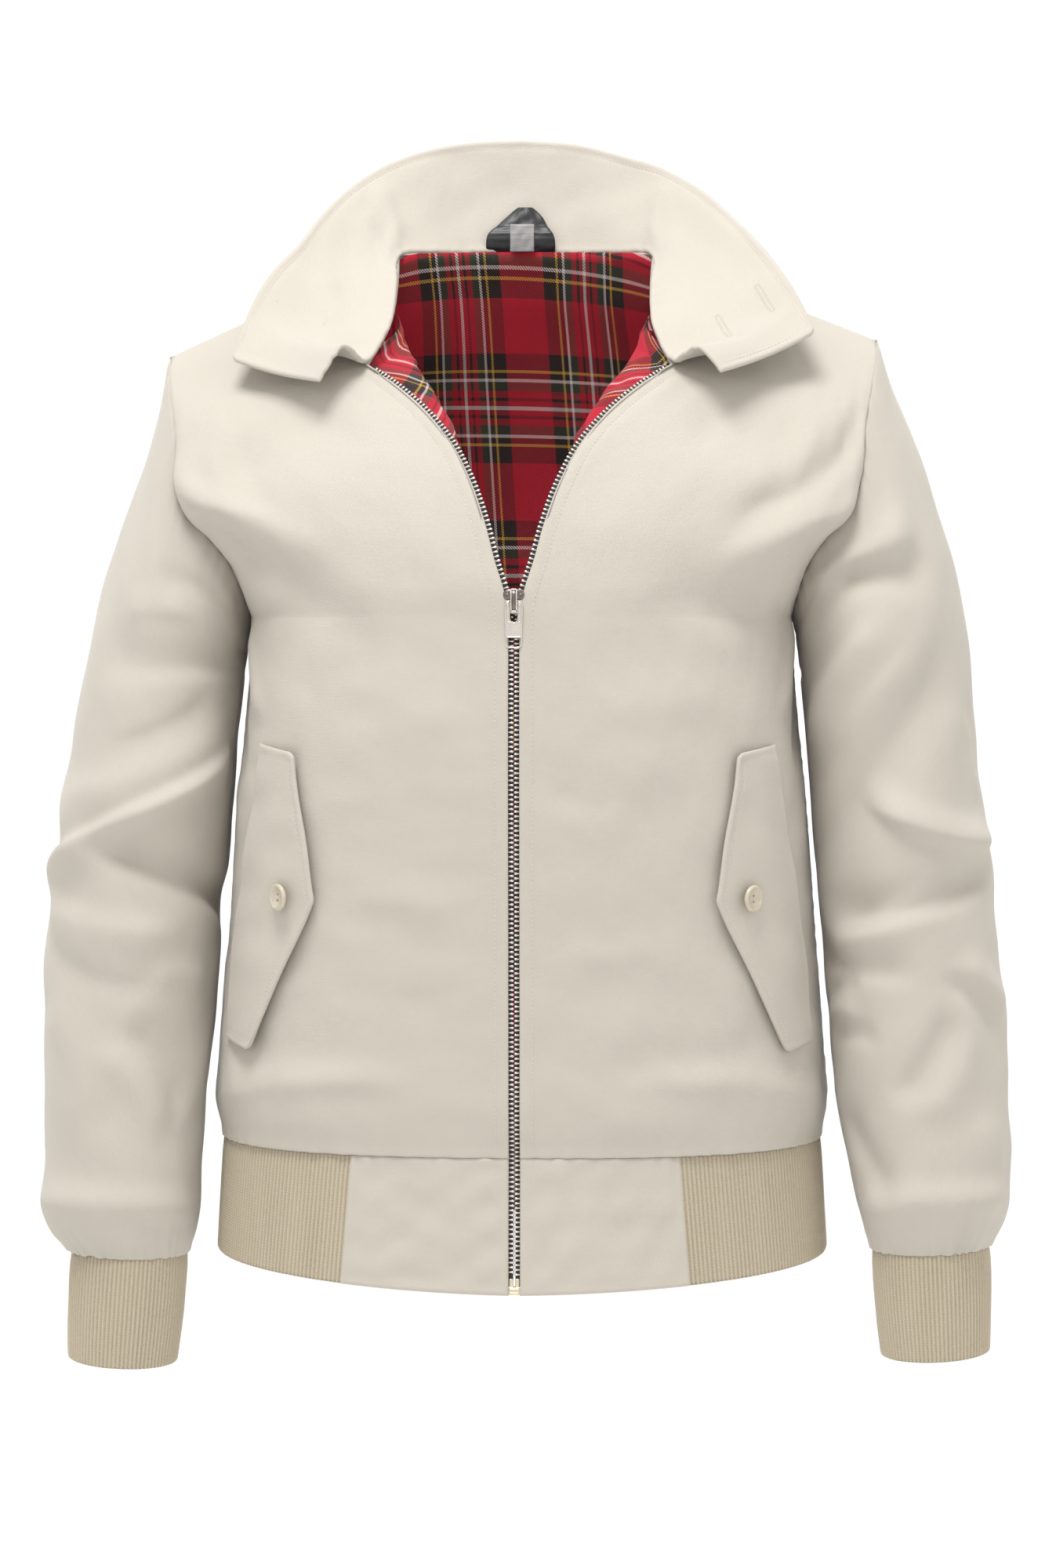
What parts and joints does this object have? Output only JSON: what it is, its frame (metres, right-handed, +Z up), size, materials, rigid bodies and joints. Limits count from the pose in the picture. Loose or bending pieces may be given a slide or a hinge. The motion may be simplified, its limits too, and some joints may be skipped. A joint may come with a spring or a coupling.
{
  "type": "harrington jacket",
  "caption": "Short zip-front jacket in stone twill with a stand-and-fall collar, slanted flap pockets, rib knit cuffs and hem, and a tartan lining, filled out hollow.",
  "frame": {"origin": "The nape, where the back neck seam crosses the middle of the back and the wearer's neck carries the jacket.", "axes": "+Z up along the wearer's body, -Y towards the front, +X towards the wearer's left."},
  "size_m": [0.5636, 0.2493, 0.721],
  "materials": {
    "back": "stone cotton and polyester twill, matt",
    "collar": "stone cotton and polyester twill, matt",
    "collar_button_1": "cast resin, polished",
    "collar_button_2": "cast resin, polished",
    "cuff_left": "two by two rib knit, matt",
    "cuff_right": "two by two rib knit, matt",
    "front_left": "stone cotton and polyester twill, matt",
    "front_right": "stone cotton and polyester twill, matt",
    "hanger_loop": "woven satin tape",
    "hem_band_left": "stone cotton and polyester twill, matt",
    "hem_band_right": "stone cotton and polyester twill, matt",
    "hem_rib": "two by two rib knit, matt",
    "lining_back": "brushed cotton in a red tartan check",
    "lining_front_left": "brushed cotton in a red tartan check",
    "lining_front_right": "brushed cotton in a red tartan check",
    "pocket_button_left": "cast resin, polished",
    "pocket_button_right": "cast resin, polished",
    "pocket_flap_left": "stone cotton and polyester twill, matt",
    "pocket_flap_right": "stone cotton and polyester twill, matt",
    "size_label": "woven satin tab, blank",
    "sleeve_left": "stone cotton and polyester twill, matt",
    "sleeve_right": "stone cotton and polyester twill, matt",
    "zip_box": "polished, a little worn",
    "zip_pull": "polished, a little worn",
    "zip_slider": "polished, a little worn",
    "zip_tape_left": "woven zip tape",
    "zip_tape_right": "woven zip tape",
    "zip_teeth_left": "polished, a little worn",
    "zip_teeth_right": "polished, a little worn"
  },
  "bodies": {
    "jacket": {"back": "back", "collar": "collar", "collar_button_1": "collar_button_1", "collar_button_2": "collar_button_2", "cuff_left": "cuff_left", "cuff_right": "cuff_right", "front_left": "front_left", "front_right": "front_right", "hanger_loop": "hanger_loop", "hem_band_left": "hem_band_left", "hem_band_right": "hem_band_right", "hem_rib": "hem_rib", "lining_back": "lining_back", "lining_front_left": "lining_front_left", "lining_front_right": "lining_front_right", "pocket_button_left": "pocket_button_left", "pocket_button_right": "pocket_button_right", "pocket_flap_left": "pocket_flap_left", "pocket_flap_right": "pocket_flap_right", "size_label": "size_label", "sleeve_left": "sleeve_left", "sleeve_right": "sleeve_right", "zip_box": "zip_box", "zip_slider": "zip_slider", "zip_tape_left": "zip_tape_left", "zip_tape_right": "zip_tape_right", "zip_teeth_left": "zip_teeth_left", "zip_teeth_right": "zip_teeth_right"},
    "pull": {"zip_pull": "zip_pull"}
  },
  "joints": [
    {"name": "pull_hinge", "type": "hinge", "parent": "jacket", "child": "pull", "pos_m": [0, -0.21205, -0.208], "axis": [-1, 0, 0], "range_deg": [0, 170]}
  ]
}
